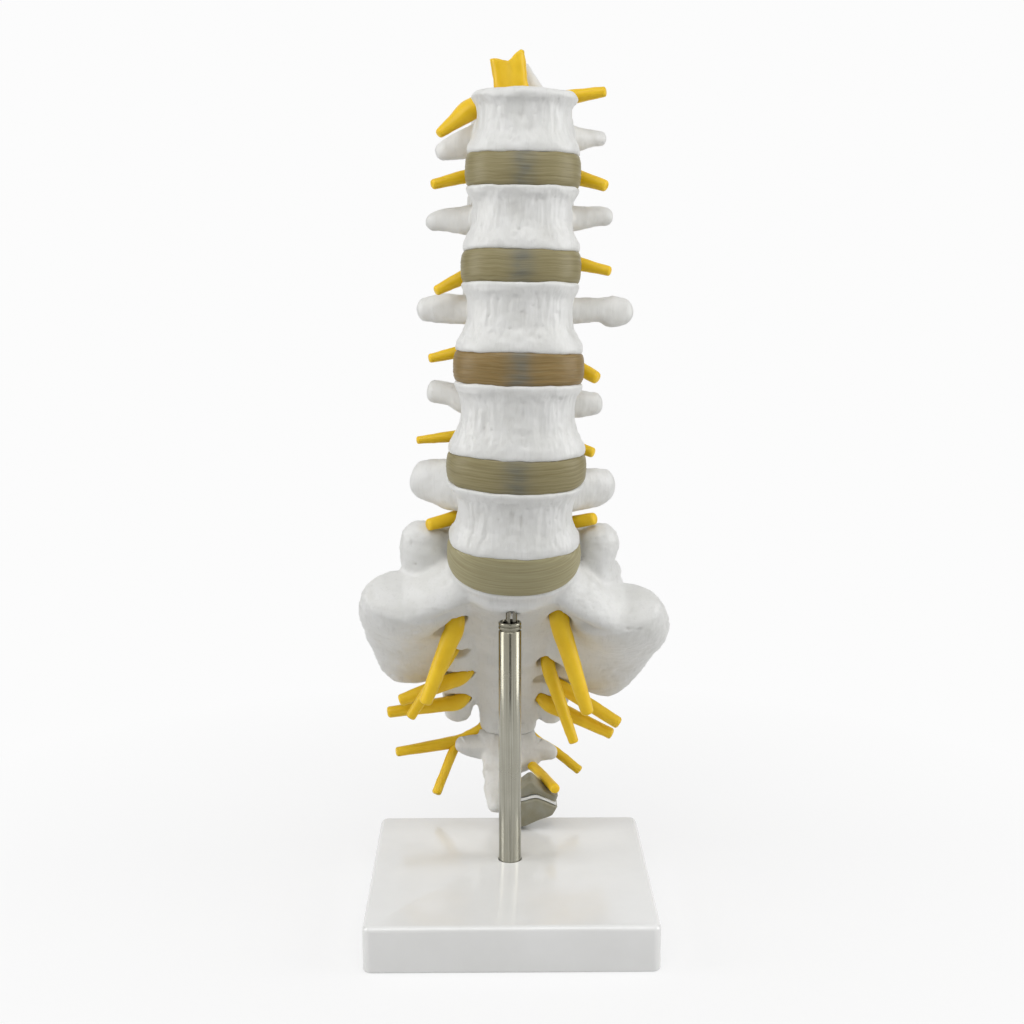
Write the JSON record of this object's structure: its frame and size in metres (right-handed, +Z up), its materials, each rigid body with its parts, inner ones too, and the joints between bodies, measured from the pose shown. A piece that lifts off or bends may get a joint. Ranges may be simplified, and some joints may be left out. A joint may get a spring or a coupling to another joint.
{
  "type": "spine anatomy model",
  "caption": "Life-size lumbar spine model with discs, nerve cord and nerve roots, sacrum and tail bone, carried on a metal post in a square base.",
  "frame": {"origin": "centre of the base plate's underside", "axes": "+Z up along the post, -Y towards the front of the body, +X towards the viewer's right"},
  "size_m": [0.126, 0.1351, 0.3355],
  "materials": {
    "base": "gloss moulded plastic, white",
    "steel": "drawn tube, satin nickel",
    "bone": "satin cast plastic, bone white with fine grain",
    "disc": "soft satin, grey-beige with fine horizontal lines",
    "nerve": "soft satin, yellow"
  },
  "bodies": {
    "root": {"base_plate": "base", "core_rod": "steel", "post": "steel", "post_collar": "steel", "post_screw": "steel", "sacrum": "bone", "coccyx": "bone", "vertebra_L1": "bone", "vertebra_L2": "bone", "vertebra_L3": "bone", "vertebra_L4": "bone", "vertebra_L5": "bone", "tail_layer": "bone", "disc_L1_L2": "disc", "disc_L2_L3": "disc", "disc_L3_L4": "disc", "disc_L4_L5": "disc", "disc_L5_S1": "disc", "tail_pad_upper": "disc", "tail_pad_lower": "disc", "nerve_cord": "nerve", "nerve_T12_left": "nerve", "nerve_T12_right": "nerve", "nerve_L1_left": "nerve", "nerve_L1_right": "nerve", "nerve_L2_left": "nerve", "nerve_L2_right": "nerve", "nerve_L3_left": "nerve", "nerve_L3_right": "nerve", "nerve_L4_left": "nerve", "nerve_L4_right": "nerve", "nerve_L5_left": "nerve", "nerve_L5_right": "nerve", "nerve_S1_left": "nerve", "nerve_S1_right": "nerve", "nerve_S2_left": "nerve", "nerve_S2_right": "nerve", "nerve_S3_left": "nerve", "nerve_S3_right": "nerve", "nerve_S4_left": "nerve", "nerve_S4_right": "nerve", "nerve_S5_left": "nerve", "nerve_S5_right": "nerve", "nerve_Co1_left": "nerve", "nerve_Co1_right": "nerve"}
  },
  "joints": []
}
